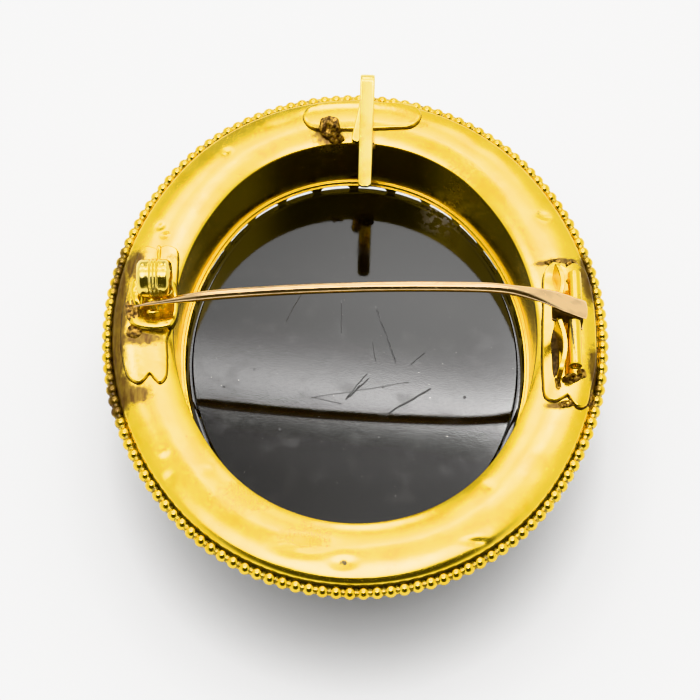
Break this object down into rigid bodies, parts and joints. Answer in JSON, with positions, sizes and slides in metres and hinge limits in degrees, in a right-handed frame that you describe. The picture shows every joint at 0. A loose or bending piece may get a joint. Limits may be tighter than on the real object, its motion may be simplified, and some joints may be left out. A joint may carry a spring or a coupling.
{
  "type": "cameo brooch",
  "caption": "Oval brooch with a hollow beaded border, a pierced collet that holds a carved black stone, and a hinged pin with a C catch and a pendant hook on its back.",
  "frame": {"origin": "centre of the oval on the surface that the brooch lies on, front down", "axes": "+X along the pin from its catch to its hinge, +Y towards the pendant hook, +Z out of the back"},
  "size_m": [0.045, 0.052, 0.0179],
  "materials": {
    "border_gold": "polished yellow gold, softly dented",
    "bead_gold": "worn yellow gold with darkened hollows",
    "fitting_gold": "hand-finished yellow gold with firescale beside the solder",
    "pin_gold": "polished pale rose gold",
    "black_stone": "polished black stone, opaque"
  },
  "bodies": {
    "brooch": {"frame": "border_gold", "bead_wire": "bead_gold", "cameo": "black_stone", "catch": "fitting_gold", "hinge": "fitting_gold", "hinge_rivet": "pin_gold", "pendant_hook": "fitting_gold"},
    "pin": {"pin": "pin_gold"}
  },
  "joints": [
    {"name": "pin_hinge", "type": "hinge", "parent": "brooch", "child": "pin", "pos_m": [0.01907, -0.0012, 0.01405], "axis": [0.0576, 0.9983, 0], "range_deg": [0, 105]}
  ]
}
